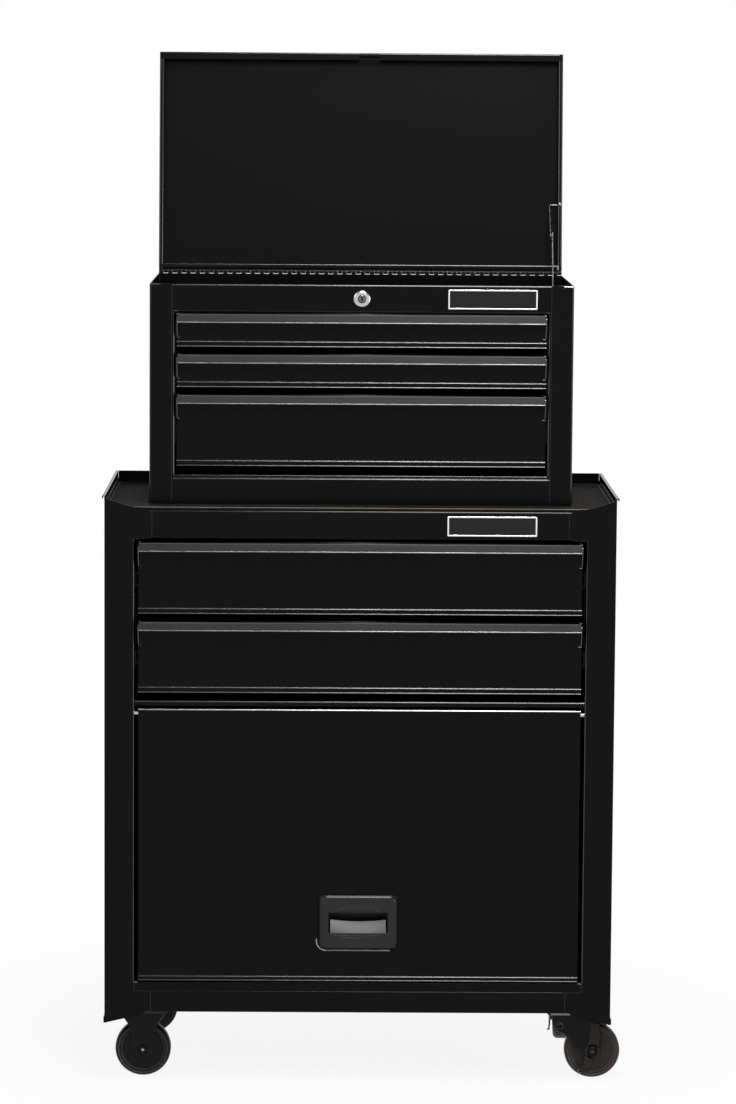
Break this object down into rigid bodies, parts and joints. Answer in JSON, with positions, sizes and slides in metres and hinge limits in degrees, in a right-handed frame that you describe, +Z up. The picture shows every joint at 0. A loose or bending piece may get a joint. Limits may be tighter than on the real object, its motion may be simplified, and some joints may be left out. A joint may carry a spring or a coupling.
{
  "type": "tool chest and cabinet",
  "caption": "Steel tool chest with an open lid and shallow drawers, standing on a rolling cabinet with drawers, a flap door and casters.",
  "frame": {"origin": "middle of the footprint's bounding box, on the floor under the casters", "axes": "+Z up, -Y out of the front where the drawers and the door are, +X to the right seen from the front"},
  "size_m": [0.692, 0.4096, 1.3661],
  "materials": {
    "black_enamel": "semi-gloss black enamel",
    "grey_pull": "brushed, dark grey",
    "zinc": "bright plated",
    "dark_steel": "dark plated",
    "rubber_mat": "matt, ribbed",
    "wheel_plastic": "satin black",
    "cup_plastic": "satin dark grey"
  },
  "bodies": {
    "carcass": {"cabinet_back": "black_enamel", "cabinet_bottom": "black_enamel", "cabinet_divider": "black_enamel", "cabinet_header": "black_enamel", "cabinet_side_left": "black_enamel", "cabinet_side_right": "black_enamel", "cabinet_sill": "black_enamel", "cabinet_slides_left": "dark_steel", "cabinet_slides_right": "dark_steel", "cabinet_top": "black_enamel", "caster_front_left_axle": "zinc", "caster_front_left_fork": "dark_steel", "caster_front_right_plate": "dark_steel", "caster_rear_left_axle": "zinc", "caster_rear_left_fork": "dark_steel", "caster_rear_right_plate": "dark_steel", "chest_back": "black_enamel", "chest_bottom": "black_enamel", "chest_header": "black_enamel", "chest_side_left": "black_enamel", "chest_side_right": "black_enamel", "chest_sill": "black_enamel", "chest_slides_left": "dark_steel", "chest_slides_right": "dark_steel", "chest_till_floor": "black_enamel", "door_pin_left": "zinc", "door_pin_right": "zinc", "lid_hinge_fixed_leaf": "dark_steel", "lid_hinge_pin": "zinc", "lock_cylinder": "zinc", "top_mat": "rubber_mat"},
    "lid": {"lid": "black_enamel", "lid_hinge_moving_leaf": "dark_steel"},
    "stay_upper": {"lid_stay_upper_rod": "zinc"},
    "stay_lower": {"lid_stay_lower_rod": "zinc"},
    "lock": {"lock_plug": "zinc", "lock_cam": "zinc"},
    "door": {"door": "black_enamel", "door_pull": "cup_plastic"},
    "chest_drawer_1": {"chest_drawer_1": "black_enamel", "chest_drawer_1_pull": "grey_pull"},
    "chest_drawer_2": {"chest_drawer_2": "black_enamel", "chest_drawer_2_pull": "grey_pull"},
    "chest_drawer_3": {"chest_drawer_3": "black_enamel", "chest_drawer_3_pull": "grey_pull"},
    "cabinet_drawer_1": {"cabinet_drawer_1": "black_enamel", "cabinet_drawer_1_pull": "grey_pull"},
    "cabinet_drawer_2": {"cabinet_drawer_2": "black_enamel", "cabinet_drawer_2_pull": "grey_pull"},
    "front_left_wheel": {"caster_front_left_wheel": "wheel_plastic"},
    "front_right_swivel": {"caster_front_right_fork": "dark_steel", "caster_front_right_axle": "zinc"},
    "front_right_wheel": {"caster_front_right_wheel": "wheel_plastic"},
    "front_right_brake": {"caster_front_right_brake_lever": "dark_steel"},
    "rear_left_wheel": {"caster_rear_left_wheel": "wheel_plastic"},
    "rear_right_swivel": {"caster_rear_right_fork": "dark_steel", "caster_rear_right_axle": "zinc"},
    "rear_right_wheel": {"caster_rear_right_wheel": "wheel_plastic"},
    "rear_right_brake": {"caster_rear_right_brake_lever": "dark_steel"}
  },
  "joints": [
    {"name": "lid_hinge", "type": "hinge", "parent": "carcass", "child": "lid", "pos_m": [-0.00644, 0.15655, 1.0643], "axis": [1, 0, 0], "range_deg": [0, 95.9]},
    {"name": "stay_upper_pivot", "type": "hinge", "parent": "lid", "child": "stay_upper", "pos_m": [0.25656, 0.17726, 1.15767], "axis": [1, 0, 0], "range_deg": [-115.1, 0]},
    {"name": "stay_lower_pivot", "type": "hinge", "parent": "carcass", "child": "stay_lower", "pos_m": [0.25986, 0.10145, 1.034], "axis": [1, 0, 0], "range_deg": [0, 103.8]},
    {"name": "lock_turn", "type": "hinge", "parent": "carcass", "child": "lock", "pos_m": [-0.00644, -0.14525, 1.0427], "axis": [0, -1, 0], "range_deg": [0, 90]},
    {"name": "door_swing", "type": "hinge", "parent": "carcass", "child": "door", "pos_m": [-0.00644, -0.18525, 0.497], "axis": [-1, 0, 0], "range_deg": [0, 90]},
    {"name": "chest_drawer_1_slide", "type": "slide", "parent": "carcass", "child": "chest_drawer_1", "axis": [0, -1, 0], "range_m": [0, 0.22]},
    {"name": "chest_drawer_2_slide", "type": "slide", "parent": "carcass", "child": "chest_drawer_2", "axis": [0, -1, 0], "range_m": [0, 0.22]},
    {"name": "chest_drawer_3_slide", "type": "slide", "parent": "carcass", "child": "chest_drawer_3", "axis": [0, -1, 0], "range_m": [0, 0.22]},
    {"name": "cabinet_drawer_1_slide", "type": "slide", "parent": "carcass", "child": "cabinet_drawer_1", "axis": [0, -1, 0], "range_m": [0, 0.26]},
    {"name": "cabinet_drawer_2_slide", "type": "slide", "parent": "carcass", "child": "cabinet_drawer_2", "axis": [0, -1, 0], "range_m": [0, 0.26]},
    {"name": "front_left_wheel_spin", "type": "hinge", "parent": "carcass", "child": "front_left_wheel", "pos_m": [-0.29324, -0.14255, 0.03718], "axis": [0, 1, 0], "continuous": true},
    {"name": "front_right_swivel_turn", "type": "hinge", "parent": "carcass", "child": "front_right_swivel", "pos_m": [0.28036, -0.14255, 0.0892], "axis": [0, 0, 1], "continuous": true},
    {"name": "front_right_wheel_spin", "type": "hinge", "parent": "front_right_swivel", "child": "front_right_wheel", "pos_m": [0.30886, -0.14255, 0.03718], "axis": [0, 1, 0], "continuous": true},
    {"name": "front_right_brake_tilt", "type": "hinge", "parent": "front_right_swivel", "child": "front_right_brake", "pos_m": [0.30886, -0.14255, 0.03718], "axis": [0, 1, 0], "range_deg": [0, 18]},
    {"name": "rear_left_wheel_spin", "type": "hinge", "parent": "carcass", "child": "rear_left_wheel", "pos_m": [-0.29324, 0.11305, 0.03718], "axis": [0, 1, 0], "continuous": true},
    {"name": "rear_right_swivel_turn", "type": "hinge", "parent": "carcass", "child": "rear_right_swivel", "pos_m": [0.28036, 0.11305, 0.0892], "axis": [0, 0, 1], "continuous": true},
    {"name": "rear_right_wheel_spin", "type": "hinge", "parent": "rear_right_swivel", "child": "rear_right_wheel", "pos_m": [0.28036, 0.08455, 0.03718], "axis": [1, 0, 0], "continuous": true},
    {"name": "rear_right_brake_tilt", "type": "hinge", "parent": "rear_right_swivel", "child": "rear_right_brake", "pos_m": [0.28036, 0.08455, 0.03718], "axis": [1, 0, 0], "range_deg": [0, 18]}
  ],
  "couplings": [
    {"joint": "stay_upper_pivot", "follows": "lid_hinge", "ratio": -1.1992},
    {"joint": "stay_lower_pivot", "follows": "lid_hinge", "ratio": 1.0808}
  ]
}
